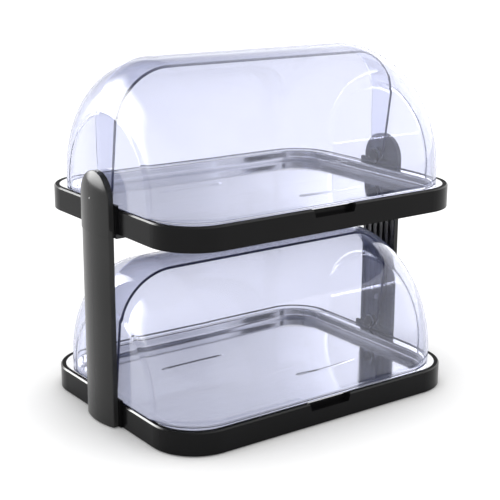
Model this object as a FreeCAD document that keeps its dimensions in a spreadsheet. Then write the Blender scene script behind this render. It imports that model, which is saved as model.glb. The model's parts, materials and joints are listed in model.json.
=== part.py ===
import FreeCAD, Part
import math
import os
import Sketcher

# Two-tier roll-top display case for chilled food.
# Origin on the floor under the middle of the case, +X to the right, +Y to the back, +Z up, millimetres.
# Both tiers are alike: a moulded base holding cold packs under a steel tray, and a clear round hood whose
# front half turns back over the fixed rear half. Two hollow posts carry the upper tier and the hinge pins.

doc = FreeCAD.newDocument("display_case")
sheet = doc.addObject("Spreadsheet::Sheet", "sizes")

SIZES = [
    # base casing
    ("base_length", 420.0),
    ("base_depth", 320.0),
    ("base_height", 28.0),
    ("base_corner_radius", 57.0),
    ("casing_wall", 3.0),
    ("casing_floor", 2.5),
    ("rim_width", 6.0),
    ("rim_chamfer", 1.6),
    ("rail_width", 14.0),
    ("rail_height", 11.8),
    ("notch_width", 62.0),
    ("notch_height", 9.5),
    ("notch_depth", 9.0),
    ("notch_slope", 3.0),
    ("pack_rib_width", 3.0),
    ("pack_rib_height", 5.0),
    ("pack_rib_length", 240.0),
    # post seats moulded on the sides of each base
    ("seat_width", 72.0),
    ("seat_height", 2.5),
    ("seat_rise", 5.0),
    ("seat_inset", 1.0),
    # feet and tiers
    ("foot_height", 1.5),
    ("foot_diameter", 18.0),
    ("foot_inset", 38.0),
    ("tier_pitch", 232.0),
    # steel tray
    ("tray_thickness", 1.0),
    ("tray_flush", 0.2),
    ("tray_gap", 0.4),
    ("well_margin", 20.0),
    ("well_corner_radius", 38.0),
    ("well_depth", 13.0),
    ("well_floor_fillet", 6.0),
    ("well_lip_fillet", 2.0),
    ("emboss_length", 98.0),
    ("emboss_width", 7.0),
    ("emboss_height", 0.9),
    ("rear_emboss_offset", 48.0),
    ("rear_emboss_line", 62.0),
    ("front_emboss_offset", 83.0),
    ("front_emboss_line", 48.0),
    # cold packs
    ("cold_pack_length", 174.0),
    ("cold_pack_depth", 256.0),
    ("cold_pack_corner", 20.0),
    ("cold_pack_edge", 3.0),
    ("cold_pack_gap", 0.3),
    ("cold_pack_spread", 2.4),
    # hood
    ("pivot_above_rim", 12.0),
    ("hood_radius", 149.0),
    ("hood_wall", 2.5),
    ("hood_gap", 1.5),
    ("hood_corner", 67.0),
    ("hood_end_margin", 4.0),
    ("hood_rest_gap", 0.3),
    ("disc_radius", 95.0),
    ("disc_step", 1.5),
    ("rear_lap", 15.0),
    ("front_lap", 14.0),
    ("front_lap_rise", 45.0),
    ("hub_radius", 10.5),
    ("hub_boss", 1.2),
    # hinge pins
    ("pin_diameter", 6.0),
    ("pin_running_gap", 0.08),
    ("pin_head_diameter", 15.0),
    ("pin_head_height", 3.0),
    ("pin_head_chamfer", 0.8),
    ("pin_end_gap", 0.3),
    ("bush_seat_gap", 0.6),
    ("bush_bore_gap", 0.15),
    ("washer_diameter", 19.0),
    ("side_gap", 0.2),
    # posts
    ("post_half_width", 31.0),
    ("post_wall", 2.2),
    ("post_strip", 6.3),
    ("post_bulge", 5.5),
    ("post_edge_fillet", 1.4),
    ("post_dome_drop", 4.0),
    ("post_joint_drop", 3.0),
    ("post_joint_gap", 0.3),
    ("post_seat_gap", 0.3),
    ("cap_swell", 0.6),
    ("cover_screw_rise", 45.0),
    ("cover_screw_drop", 16.0),
    # ribbed spine inside each post
    ("spine_back_gap", 0.2),
    ("spine_side_gap", 0.4),
    ("groove_width", 8.5),
    ("groove_pitch", 11.0),
    ("groove_depth", 2.4),
    ("groove_margin", 8.0),
    ("groove_count", 5),
    ("shelf_reach", 22.5),
    ("shelf_thickness", 4.8),
    ("shelf_corner", 14.0),
    ("shelf_gap", 0.2),
    ("neck_inset", 3.0),
    # screws
    ("screw_diameter", 4.0),
    ("screw_head_diameter", 7.0),
    ("screw_head_height", 2.0),
    ("screw_hole_gap", 0.2),
    ("screw_spread", 18.0),
    ("boss_diameter", 8.0),
    ("boss_gap", 0.2),
    # how far a cut that goes right through runs past the piece
    ("overrun", 20.0),
]

for row, (alias, number) in enumerate(SIZES, start=1):
    sheet.set(f"A{row}", alias.replace("_", " "))
    sheet.set(f"B{row}", str(number))
    sheet.setAlias(f"B{row}", alias)
doc.recompute()

# Places that several pieces share, as formulas of the sizes.
HALF_LENGTH = "sizes.base_length / 2"
HALF_DEPTH = "sizes.base_depth / 2"
RIM = "sizes.base_height"
LEDGE = "(sizes.base_height - sizes.tray_thickness - sizes.tray_flush)"
RAIL_UNDERSIDE = f"({LEDGE} - sizes.rail_height)"
WELL_FLOOR = "(sizes.base_height - sizes.tray_flush - sizes.well_depth)"
LOWER_TIER = "sizes.foot_height"
UPPER_TIER = "(sizes.foot_height + sizes.tier_pitch)"
PIVOT = "(sizes.base_height + sizes.pivot_above_rim)"
FRONT_END = f"({HALF_LENGTH} - sizes.hood_end_margin)"
NEST = "(sizes.hood_wall + sizes.hood_gap)"
REAR_END = f"({FRONT_END} - {NEST})"
FRONT_HUB_FACE = f"({FRONT_END} + sizes.disc_step + sizes.hub_boss)"
REAR_HUB_FACE = f"({REAR_END} + sizes.disc_step - sizes.hood_wall - sizes.hub_boss)"
SEAT_FACE = f"({HALF_LENGTH} + sizes.seat_height)"
POST_FACE = f"({SEAT_FACE} + sizes.post_seat_gap)"
SPINE_THICKNESS = "(sizes.post_strip - sizes.post_wall - sizes.spine_back_gap)"
SPINE_BACK = f"({POST_FACE} + {SPINE_THICKNESS})"
DOME_CENTRE = f"({UPPER_TIER} + {PIVOT} - sizes.post_dome_drop)"
POST_JOINT = f"({UPPER_TIER} - sizes.post_joint_drop)"
SHELF_TOP = f"({UPPER_TIER} - sizes.shelf_gap)"
SCREW_HOLE = "(sizes.screw_diameter + sizes.screw_hole_gap)"
SCREW_LEVEL = f"((sizes.casing_floor + {RAIL_UNDERSIDE}) / 2)"
THROUGH = "(sizes.base_length + 2 * sizes.overrun)"

TIERS = {"lower": LOWER_TIER, "upper": UPPER_TIER}
SIDES = {"right": 0.0, "left": 180.0}
ORIGIN = H_AXIS = -1
START, END, CENTRE = range(1, 4)
nodes = []


def vec(x, y, z=0.0):
    return FreeCAD.Vector(x, y, z)


def new_body(label, keep=True):
    """An empty body; kept ones are sub-parts of the case."""
    body = doc.addObject("PartDesign::Body", label)
    body.Label = label
    if keep:
        nodes.append(body)
    return body


def place(thing, height=None, turn=0.0):
    """Lift a sub-part to its tier, and turn it about the vertical for the left side."""
    thing.Placement = FreeCAD.Placement(vec(0, 0), FreeCAD.Rotation(vec(0, 0, 1), turn))
    if height:
        thing.setExpression("Placement.Base.z", height)


def new_sketch(body, name, plane, offset="0", rise="0"):
    """A sketch on one of the body's own planes, offset along its normal and raised along its own y."""
    sketch = body.newObject("Sketcher::SketchObject", name)
    support = next(item for item in body.Origin.OriginFeatures if item.Role == plane)
    sketch.AttachmentSupport = [(support, "")]
    sketch.MapMode = "FlatFace"
    sketch.setExpression("AttachmentOffset.Base.z", offset)
    sketch.setExpression("AttachmentOffset.Base.y", rise)
    return sketch


def rule(sketch, *terms):
    return sketch.addConstraint(Sketcher.Constraint(*terms))


def size(sketch, formula, *terms):
    """A dimension of a sketch, bound to a formula of the sizes."""
    index = rule(sketch, *terms)
    sketch.setExpression(f"Constraints[{index}]", formula)


def outline(sketch, points):
    """Closed run of straight lines through the points; a line that is level or upright stays so."""
    count = len(points)
    lines = []
    for index in range(count):
        start, end = points[index], points[(index + 1) % count]
        line = sketch.addGeometry(Part.LineSegment(vec(*start), vec(*end)), False)
        lines.append(line)
        if start[1] == end[1]:
            rule(sketch, "Horizontal", line)
        elif start[0] == end[0]:
            rule(sketch, "Vertical", line)
    for index in range(count):
        rule(sketch, "Coincident", lines[index], END, lines[(index + 1) % count], START)
    return lines


def rectangle(sketch, low_x, high_x, low_y, high_y):
    """Rectangle between four formulas, each a signed distance from the sketch's origin."""
    lines = outline(sketch, [(-20, -10), (20, -10), (20, 10), (-20, 10)])
    size(sketch, low_x, "DistanceX", ORIGIN, START, lines[0], START, -20.0)
    size(sketch, high_x, "DistanceX", ORIGIN, START, lines[0], END, 20.0)
    size(sketch, low_y, "DistanceY", ORIGIN, START, lines[0], START, -10.0)
    size(sketch, high_y, "DistanceY", ORIGIN, START, lines[2], START, 10.0)


def rounded_rectangle(sketch, half_x, half_y, radius):
    """Rounded rectangle about the sketch's origin."""
    ends = [((30, -20), (30, 20)), ((20, 30), (-20, 30)), ((-30, 20), (-30, -20)), ((-20, -30), (20, -30))]
    middles = [(20, 20), (-20, 20), (-20, -20), (20, -20)]
    lines = [sketch.addGeometry(Part.LineSegment(vec(*a), vec(*b)), False) for a, b in ends]
    arcs = []
    for index, middle in enumerate(middles):
        circle = Part.Circle(vec(*middle), vec(0, 0, 1), 10)
        turn = index * math.pi / 2
        arcs.append(sketch.addGeometry(Part.ArcOfCircle(circle, turn, turn + math.pi / 2), False))
    for index in range(4):
        rule(sketch, "Tangent", lines[index], END, arcs[index], START)
        rule(sketch, "Tangent", arcs[index], END, lines[(index + 1) % 4], START)
        rule(sketch, "Horizontal" if index % 2 else "Vertical", lines[index])
    for arc in arcs[1:]:
        rule(sketch, "Equal", arcs[0], arc)
    size(sketch, half_x, "DistanceX", ORIGIN, START, lines[0], START, 30.0)
    size(sketch, half_x, "DistanceX", lines[2], START, ORIGIN, START, 30.0)
    size(sketch, half_y, "DistanceY", ORIGIN, START, lines[1], START, 30.0)
    size(sketch, half_y, "DistanceY", lines[3], START, ORIGIN, START, 30.0)
    size(sketch, radius, "Radius", arcs[0], 10.0)


def circle_at(sketch, radius, across="0", up="0"):
    """Circle whose centre is given by two formulas, zero or more."""
    circle = sketch.addGeometry(Part.Circle(vec(5, 5), vec(0, 0, 1), 5), False)
    size(sketch, across, "DistanceX", ORIGIN, START, circle, CENTRE, 5.0)
    size(sketch, up, "DistanceY", ORIGIN, START, circle, CENTRE, 5.0)
    size(sketch, radius, "Radius", circle, 5.0)


def pad(body, sketch, length, both_ways=False, backwards=False):
    feature = body.newObject("PartDesign::Pad", "Pad")
    feature.Profile = sketch
    feature.setExpression("Length", length)
    feature.Midplane = both_ways
    feature.Reversed = backwards
    return feature


def pocket(body, sketch, length, both_ways=False, backwards=False):
    feature = body.newObject("PartDesign::Pocket", "Pocket")
    feature.Profile = sketch
    feature.setExpression("Length", length)
    feature.Midplane = both_ways
    feature.Reversed = backwards
    return feature


def edges_where(body, test):
    """Names of the edges whose every point passes the test."""
    doc.recompute()
    names = []
    for index, edge in enumerate(body.Shape.Edges, start=1):
        points = [edge.valueAt(edge.FirstParameter + share * (edge.LastParameter - edge.FirstParameter))
                  for share in (0.0, 0.3, 0.7, 1.0)]
        if all(test(point) for point in points):
            names.append(f"Edge{index}")
    return names


def near(value, target):
    return abs(value - target) < 0.01


def dress(body, kind, edges, amount):
    """Fillet or chamfer on named edges of the body's last feature."""
    feature = body.newObject(f"PartDesign::{kind}", kind)
    feature.Base = (body.Tip if body.Tip != feature else body.Group[-2], edges)
    feature.setExpression("Radius" if kind == "Fillet" else "Size", amount)
    return feature


def number(alias):
    return float(sheet.get(alias))


# Moulded base

def base_casing(tier):
    """Open box with a broad rim rail for the tray, a finger notch in front and a post seat on each side."""
    body = new_body(f"{tier}_base_casing")
    block = new_sketch(body, "block", "XY_Plane")
    rounded_rectangle(block, HALF_LENGTH, HALF_DEPTH, "sizes.base_corner_radius")
    pad(body, block, "sizes.base_height")
    top = number("base_height")
    dress(body, "Chamfer", edges_where(body, lambda point: near(point.z, top)), "sizes.rim_chamfer")

    seats = new_sketch(body, "post_seats", "YZ_Plane")
    rectangle(seats, "-sizes.seat_width / 2", "sizes.seat_width / 2", "0", f"{RIM} + sizes.seat_rise")
    pad(body, seats, f"2 * {SEAT_FACE}", both_ways=True)
    clear = new_sketch(body, "hood_clearance", "XY_Plane", f"{RIM} + sizes.seat_rise")
    rectangle(clear, f"-{HALF_LENGTH} + sizes.seat_inset", f"{HALF_LENGTH} - sizes.seat_inset",
              "-sizes.seat_width", "sizes.seat_width")
    pocket(body, clear, "sizes.seat_rise")

    recess = new_sketch(body, "tray_recess", "XY_Plane", RIM)
    rounded_rectangle(recess, f"{HALF_LENGTH} - sizes.rim_width", f"{HALF_DEPTH} - sizes.rim_width",
                      "sizes.base_corner_radius - sizes.rim_width")
    pocket(body, recess, f"{RIM} - {LEDGE}")
    opening = new_sketch(body, "rail_opening", "XY_Plane", LEDGE)
    rounded_rectangle(opening, f"{HALF_LENGTH} - sizes.rail_width", f"{HALF_DEPTH} - sizes.rail_width",
                      "sizes.base_corner_radius - sizes.rail_width")
    pocket(body, opening, f"{LEDGE} - sizes.casing_floor")
    cavity = new_sketch(body, "cavity", "XY_Plane", RAIL_UNDERSIDE)
    rounded_rectangle(cavity, f"{HALF_LENGTH} - sizes.casing_wall", f"{HALF_DEPTH} - sizes.casing_wall",
                      "sizes.base_corner_radius - sizes.casing_wall")
    pocket(body, cavity, f"{RAIL_UNDERSIDE} - sizes.casing_floor")

    notch = new_sketch(body, "finger_notch", "XZ_Plane", HALF_DEPTH, RIM)
    lines = outline(notch, [(-20, 0), (-15, -8), (15, -8), (20, 0)])
    size(notch, "sizes.notch_width / 2", "DistanceX", lines[0], START, ORIGIN, START, 20.0)
    size(notch, "sizes.notch_width / 2", "DistanceX", ORIGIN, START, lines[2], END, 20.0)
    size(notch, "0", "DistanceY", ORIGIN, START, lines[0], START, 0.0)
    size(notch, "sizes.notch_height", "DistanceY", lines[1], START, ORIGIN, START, 8.0)
    size(notch, "sizes.notch_slope", "DistanceX", lines[0], START, lines[0], END, 5.0)
    size(notch, "sizes.notch_slope", "DistanceX", lines[2], START, lines[2], END, 5.0)
    pocket(body, notch, "sizes.notch_depth")

    rib = new_sketch(body, "pack_rib", "XY_Plane", "sizes.casing_floor")
    rectangle(rib, "-sizes.pack_rib_width / 2", "sizes.pack_rib_width / 2",
              "-sizes.pack_rib_length / 2", "sizes.pack_rib_length / 2")
    pad(body, rib, "sizes.pack_rib_height")

    holes = new_sketch(body, "screw_holes", "YZ_Plane")
    for side in ("sizes.screw_spread", "-sizes.screw_spread"):
        circle_at(holes, f"{SCREW_HOLE} / 2", side, SCREW_LEVEL)
    pocket(body, holes, THROUGH, both_ways=True)
    place(body, TIERS[tier])


def tray(tier):
    """Pressed steel tray: a flange in the rim recess, and a shallow well with two raised crescents."""
    body = new_body(f"{tier}_tray")
    flange = new_sketch(body, "flange", "XY_Plane", LEDGE)
    edge = "(sizes.rim_width + sizes.tray_gap)"
    rounded_rectangle(flange, f"{HALF_LENGTH} - {edge}", f"{HALF_DEPTH} - {edge}",
                      f"sizes.base_corner_radius - {edge}")
    pad(body, flange, "sizes.tray_thickness")
    skin = "(sizes.well_margin - sizes.tray_thickness)"
    outside = new_sketch(body, "well_outside", "XY_Plane", f"{WELL_FLOOR} - sizes.tray_thickness")
    rounded_rectangle(outside, f"{HALF_LENGTH} - {skin}", f"{HALF_DEPTH} - {skin}",
                      "sizes.well_corner_radius + sizes.tray_thickness")
    pad(body, outside, "sizes.well_depth + sizes.tray_thickness")
    inside = new_sketch(body, "well_inside", "XY_Plane", "sizes.base_height - sizes.tray_flush")
    rounded_rectangle(inside, f"{HALF_LENGTH} - sizes.well_margin", f"{HALF_DEPTH} - sizes.well_margin",
                      "sizes.well_corner_radius")
    pocket(body, inside, "sizes.well_depth")
    floor = number("base_height") - number("tray_flush") - number("well_depth")
    dress(body, "Fillet", edges_where(body, lambda point: near(point.z, floor)),
          "sizes.well_floor_fillet - sizes.tray_thickness")
    under = floor - number("tray_thickness")
    dress(body, "Fillet", edges_where(body, lambda point: near(point.z, under)), "sizes.well_floor_fillet")
    lip = number("base_height") - number("tray_flush")
    inset = number("rim_width") * 2
    reach_x, reach_y = number("base_length") / 2 - inset, number("base_depth") / 2 - inset
    dress(body, "Fillet", edges_where(body, lambda point: near(point.z, lip) and abs(point.x) < reach_x
                                      and abs(point.y) < reach_y), "sizes.well_lip_fillet")
    emboss = new_sketch(body, "crescents", "XY_Plane", WELL_FLOOR)
    crescent(emboss, "-sizes.rear_emboss_offset", "sizes.rear_emboss_line", 1)
    crescent(emboss, "sizes.front_emboss_offset", "-sizes.front_emboss_line", -1)
    pad(body, emboss, "sizes.emboss_height")
    place(body, TIERS[tier])


def crescent(sketch, across, line_at, side):
    """Straight edge towards the middle of the tray and a shallow arc on the other side."""
    half = "sizes.emboss_length / 2"
    bend = "((sizes.emboss_length ^ 2 / 4 + sizes.emboss_width ^ 2) / (2 * sizes.emboss_width))"
    chord = sketch.addGeometry(Part.LineSegment(vec(-49, side * 60), vec(49, side * 60)), False)
    rule(sketch, "Horizontal", chord)
    middle = vec(0, side * (60 - 170))
    turn = math.asin(49 / 177)
    start = side * math.pi / 2 - turn
    circle = Part.Circle(middle, vec(0, 0, 1), 177)
    arc = sketch.addGeometry(Part.ArcOfCircle(circle, start, start + 2 * turn), False)
    first, second = (START, END) if side < 0 else (END, START)
    rule(sketch, "Coincident", chord, START, arc, first)
    rule(sketch, "Coincident", chord, END, arc, second)
    size(sketch, f"{across} - {half}", "DistanceX", ORIGIN, START, chord, START, -49.0)
    size(sketch, f"{across} + {half}", "DistanceX", ORIGIN, START, chord, END, 49.0)
    size(sketch, line_at, "DistanceY", ORIGIN, START, chord, START, side * 60.0)
    size(sketch, bend, "Radius", arc, 177.0)


def cold_pack(tier, side):
    """Flat gel pack that fills one half of the base under the tray."""
    body = new_body(f"{tier}_{side}_cold_pack")
    slab = new_sketch(body, "slab", "XY_Plane", "sizes.casing_floor + sizes.cold_pack_gap")
    half_length, half_depth = "sizes.cold_pack_length / 2", "sizes.cold_pack_depth / 2"
    rounded_rectangle(slab, half_length, half_depth, "sizes.cold_pack_corner")
    shift = "(sizes.cold_pack_length / 2 + sizes.cold_pack_spread)"
    slab.setExpression("AttachmentOffset.Base.x", shift if side == "right" else f"-{shift}")
    pad(body, slab, f"{WELL_FLOOR} - sizes.tray_thickness - sizes.casing_floor - 2 * sizes.cold_pack_gap")
    doc.recompute()
    low, high = body.Shape.BoundBox.ZMin, body.Shape.BoundBox.ZMax
    dress(body, "Fillet", edges_where(body, lambda point: near(point.z, low) or near(point.z, high)),
          "sizes.cold_pack_edge")
    place(body, TIERS[tier])


def foot(name, across, along):
    """Round rubber foot under a corner of the lower base."""
    disc = doc.addObject("Part::Cylinder", name)
    disc.Label = name
    disc.setExpression("Radius", "sizes.foot_diameter / 2")
    disc.setExpression("Height", "sizes.foot_height")
    disc.setExpression("Placement.Base.x", f"{across} * ({HALF_LENGTH} - sizes.foot_inset)")
    disc.setExpression("Placement.Base.y", f"{along} * ({HALF_DEPTH} - sizes.foot_inset)")
    nodes.append(disc)


# Clear hoods

def hood_profile(sketch, end, disc, radius, corner):
    """Half outline of a hood from the hinge axis up: a proud disc on each end and round shoulders."""
    runs = [((-207, 0), (207, 0)), ((207, 0), (207, 95)), ((207, 95), (204, 95)),
            ((139, 149), (-139, 149)), ((-204, 95), (-207, 95)), ((-207, 95), (-207, 0))]
    axis, disc_r, step_r, crown, step_l, disc_l = [
        sketch.addGeometry(Part.LineSegment(vec(*a), vec(*b)), False) for a, b in runs]
    lift = 0.18
    quarter = math.pi / 2
    shoulder_r = Part.ArcOfCircle(Part.Circle(vec(139, 82), vec(0, 0, 1), 67), lift, quarter)
    shoulder_l = Part.ArcOfCircle(Part.Circle(vec(-139, 82), vec(0, 0, 1), 67), quarter, 2 * quarter - lift)
    arc_r = sketch.addGeometry(shoulder_r, False)
    arc_l = sketch.addGeometry(shoulder_l, False)
    for first, second in ((axis, disc_r), (disc_r, step_r), (step_r, arc_r),
                          (arc_l, step_l), (step_l, disc_l), (disc_l, axis)):
        rule(sketch, "Coincident", first, END, second, START)
    for first, second in ((arc_r, crown), (crown, arc_l)):
        rule(sketch, "Tangent", first, END, second, START)
    for line in (axis, step_r, crown, step_l):
        rule(sketch, "Horizontal", line)
    for line in (disc_r, disc_l):
        rule(sketch, "Vertical", line)
    rule(sketch, "PointOnObject", axis, START, H_AXIS)
    rule(sketch, "Equal", arc_r, arc_l)
    size(sketch, f"{end} + sizes.disc_step", "DistanceX", ORIGIN, START, axis, END, 207.0)
    size(sketch, f"{end} + sizes.disc_step", "DistanceX", axis, START, ORIGIN, START, 207.0)
    size(sketch, disc, "DistanceY", axis, END, disc_r, END, 95.0)
    size(sketch, disc, "DistanceY", axis, START, step_l, END, 95.0)
    size(sketch, radius, "DistanceY", ORIGIN, START, crown, START, 149.0)
    size(sketch, corner, "Radius", arc_r, 67.0)
    size(sketch, f"{end} - {corner}", "DistanceX", ORIGIN, START, arc_r, CENTRE, 139.0)
    size(sketch, f"{end} - {corner}", "DistanceX", arc_l, CENTRE, ORIGIN, START, 139.0)


def turned(body, kind, sketch):
    feature = body.newObject(f"PartDesign::{kind}", kind)
    feature.Profile = sketch
    feature.ReferenceAxis = (sketch, ["H_Axis"])
    feature.Angle = 360
    return feature


def hood(tier, name, nest, cut_away, boss_out):
    """Shell turned about the hinge axis, cut off above the rim and at its lap, with a hub at each end."""
    body = new_body(f"{tier}_{name}_hood")
    end = f"({FRONT_END} - {nest})"
    aliases = ("disc_radius", "hood_radius", "hood_corner")
    disc, radius, corner = [f"(sizes.{alias} - {nest})" for alias in aliases]
    outside = new_sketch(body, "outside", "XZ_Plane", rise=PIVOT)
    hood_profile(outside, end, disc, radius, corner)
    turned(body, "Revolution", outside)
    inside = new_sketch(body, "inside", "XZ_Plane", rise=PIVOT)
    wall = "sizes.hood_wall"
    hood_profile(inside, *[f"({length} - {wall})" for length in (end, disc, radius, corner)])
    turned(body, "Groove", inside)

    far = "(sizes.hood_radius + sizes.overrun)"
    below = new_sketch(body, "below_rim", "YZ_Plane", rise=PIVOT)
    rectangle(below, f"-{far}", far, f"-{far}", "sizes.hood_rest_gap - sizes.pivot_above_rim")
    pocket(body, below, THROUGH, both_ways=True)
    lap = new_sketch(body, "lap", "YZ_Plane", rise=PIVOT)
    cut_away(lap, far)
    pocket(body, lap, THROUGH, both_ways=True)

    disc_face = f"({end} + sizes.disc_step)"
    outer_face = f"({disc_face} + {'sizes.hub_boss' if boss_out else '0'})"
    depth = "(sizes.hood_wall + sizes.hub_boss)"
    for sign in ("", "-"):
        hub = new_sketch(body, "hub", "YZ_Plane", f"{sign}{outer_face}", PIVOT)
        circle_at(hub, "sizes.hub_radius")
        pad(body, hub, depth, backwards=(sign == ""))
    bore = new_sketch(body, "pin_bore", "YZ_Plane", rise=PIVOT)
    circle_at(bore, "sizes.pin_diameter / 2 + sizes.pin_running_gap")
    pocket(body, bore, THROUGH, both_ways=True)
    place(body, TIERS[tier])


def cut_behind(sketch, far):
    """Takes away all behind the front hood's lap, and all behind its hub below the hinge axis."""
    lines = outline(sketch, [(0, -40), (0, 0), (10, 0), (14, 30), (14, 40), (50, 40), (50, -40)])
    size(sketch, f"-{far}", "DistanceY", ORIGIN, START, lines[0], START, -40.0)
    size(sketch, "0", "DistanceX", ORIGIN, START, lines[0], START, 0.0)
    size(sketch, "0", "DistanceY", ORIGIN, START, lines[1], START, 0.0)
    size(sketch, "sizes.hub_radius", "DistanceX", ORIGIN, START, lines[2], START, 10.0)
    size(sketch, "sizes.front_lap", "DistanceX", ORIGIN, START, lines[3], START, 14.0)
    size(sketch, "sizes.front_lap_rise", "DistanceY", ORIGIN, START, lines[3], START, 30.0)
    size(sketch, far, "DistanceY", ORIGIN, START, lines[4], START, 40.0)
    size(sketch, far, "DistanceX", ORIGIN, START, lines[5], START, 50.0)


def cut_before(sketch, far):
    """Takes away all in front of the rear hood's lap."""
    rectangle(sketch, f"-{far}", "-sizes.rear_lap", f"-{far}", far)


# Hinge pins, washers and bushes

def along_x(name, start, length, radius, height="0", across="0"):
    """Cylinder that lies along +X from a formula, at a height and at a place across the case."""
    rod = doc.addObject("Part::Cylinder", name)
    rod.setExpression("Radius", radius)
    rod.setExpression("Height", length)
    rod.Placement = FreeCAD.Placement(vec(0, 0), FreeCAD.Rotation(vec(0, 1, 0), 90))
    rod.setExpression("Placement.Base.x", start)
    rod.setExpression("Placement.Base.y", across)
    rod.setExpression("Placement.Base.z", height)
    return rod


def ring(tier, side, name, start, end, radius):
    """Loose ring round a hinge pin."""
    outside = along_x("ring", start, f"{end} - {start}", radius, PIVOT)
    inside = along_x("bore", start, f"{end} - {start}", "sizes.pin_diameter / 2 + sizes.bush_bore_gap", PIVOT)
    piece = doc.addObject("Part::Cut", f"{tier}_{side}_{name}")
    piece.Label = f"{tier}_{side}_{name}"
    piece.Base = outside
    piece.Tool = inside
    place(piece, TIERS[tier], SIDES[side])
    nodes.append(piece)


def hinge_pin(tier, side):
    """Pin with a broad chamfered head inside the hood; its tip sits in the post's spine."""
    body = new_body(f"{tier}_{side}_hinge_pin")
    head_face = f"({REAR_HUB_FACE} - sizes.side_gap)"
    shaft = new_sketch(body, "shaft", "YZ_Plane", f"{head_face} - sizes.pin_head_height", PIVOT)
    circle_at(shaft, "sizes.pin_diameter / 2")
    pad(body, shaft, f"{SPINE_BACK} - sizes.pin_end_gap - {head_face} + sizes.pin_head_height")
    head = new_sketch(body, "head", "YZ_Plane", f"{head_face} - sizes.pin_head_height", PIVOT)
    circle_at(head, "sizes.pin_head_diameter / 2")
    pad(body, head, "sizes.pin_head_height")
    doc.recompute()
    low = body.Shape.BoundBox.XMin
    dress(body, "Chamfer", edges_where(body, lambda point: near(point.x, low)), "sizes.pin_head_chamfer")
    place(body, TIERS[tier], SIDES[side])


def screw(name, start, length, height, across="0"):
    """Pan-head screw along +X; its head lies before the start."""
    shank = along_x(f"{name}_shank", start, length, "sizes.screw_diameter / 2", height, across)
    head = along_x(f"{name}_head", f"{start} - sizes.screw_head_height", "sizes.screw_head_height",
                   "sizes.screw_head_diameter / 2", height, across)
    whole = doc.addObject("Part::Fuse", name)
    whole.Base = shank
    whole.Tool = head
    return whole


def group(name, pieces, height=None, turn=0.0):
    """Several alike fasteners that share one sub-part."""
    together = doc.addObject("Part::Compound", name)
    together.Label = name
    together.Links = pieces
    place(together, height, turn)
    nodes.append(together)


def base_screws(tier, side):
    """Two screws from inside a base through its side into the post's spine."""
    inner_face = f"({HALF_LENGTH} - sizes.casing_wall)"
    length = f"{SPINE_BACK} - sizes.pin_end_gap - {inner_face}"
    pieces = [screw(f"{tier}_{side}_screw_{index}", inner_face, length, SCREW_LEVEL, across)
              for index, across in enumerate(("sizes.screw_spread", "-sizes.screw_spread"))]
    group(f"{tier}_{side}_base_screws", pieces, TIERS[tier], SIDES[side])


# Posts

COVER_SCREWS = {
    "column": [f"({LOWER_TIER} + sizes.base_height + sizes.cover_screw_rise)",
               f"({POST_JOINT} - sizes.cover_screw_drop)"],
    "cap": [f"({UPPER_TIER} + sizes.base_height / 2)"],
}


def post_section(sketch, half_width, strip, bulge, inset="0"):
    """D shape: flat towards the case, straight side strips and a gently bowed outer face."""
    face = f"({POST_FACE} + {inset})"
    bend = f"(({half_width}) ^ 2 + ({bulge}) ^ 2) / (2 * ({bulge}))"
    inner = sketch.addGeometry(Part.LineSegment(vec(50, 30), vec(50, -30)), False)
    front = sketch.addGeometry(Part.LineSegment(vec(50, -30), vec(56, -30)), False)
    middle, turn = vec(-9, 0), math.asin(30 / 72)
    arc = sketch.addGeometry(Part.ArcOfCircle(Part.Circle(middle, vec(0, 0, 1), 72), -turn, turn), False)
    back = sketch.addGeometry(Part.LineSegment(vec(56, 30), vec(50, 30)), False)
    rule(sketch, "Vertical", inner)
    rule(sketch, "Horizontal", front)
    rule(sketch, "Horizontal", back)
    for first, second in ((inner, front), (front, arc), (arc, back), (back, inner)):
        rule(sketch, "Coincident", first, END, second, START)
    size(sketch, face, "DistanceX", ORIGIN, START, inner, START, 50.0)
    size(sketch, half_width, "DistanceY", ORIGIN, START, inner, START, 30.0)
    size(sketch, half_width, "DistanceY", inner, END, ORIGIN, START, 30.0)
    size(sketch, strip, "DistanceX", front, START, front, END, 6.0)
    size(sketch, strip, "DistanceX", back, END, back, START, 6.0)
    size(sketch, bend, "Radius", arc, 72.0)


def post_half_section(sketch, half_width, strip, bulge, inset="0"):
    """Half of the D shape, from the middle plane to one side."""
    bend = f"(({half_width}) ^ 2 + ({bulge}) ^ 2) / (2 * ({bulge}))"
    inner = sketch.addGeometry(Part.LineSegment(vec(50, 0), vec(50, 30)), False)
    side = sketch.addGeometry(Part.LineSegment(vec(50, 30), vec(56, 30)), False)
    arc = sketch.addGeometry(
        Part.ArcOfCircle(Part.Circle(vec(-9, 0), vec(0, 0, 1), 72), 0, math.asin(30 / 72)), False)
    axis = sketch.addGeometry(Part.LineSegment(vec(63, 0), vec(50, 0)), False)
    rule(sketch, "Vertical", inner)
    rule(sketch, "Horizontal", side)
    rule(sketch, "Horizontal", axis)
    for first, at, second, to in ((inner, END, side, START), (side, END, arc, END),
                                  (arc, START, axis, START), (axis, END, inner, START)):
        rule(sketch, "Coincident", first, at, second, to)
    rule(sketch, "PointOnObject", inner, START, H_AXIS)
    rule(sketch, "PointOnObject", arc, CENTRE, H_AXIS)
    size(sketch, f"({POST_FACE} + {inset})", "DistanceX", ORIGIN, START, inner, START, 50.0)
    size(sketch, half_width, "DistanceY", ORIGIN, START, side, START, 30.0)
    size(sketch, strip, "DistanceX", side, START, side, END, 6.0)
    size(sketch, bend, "Radius", arc, 72.0)


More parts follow.
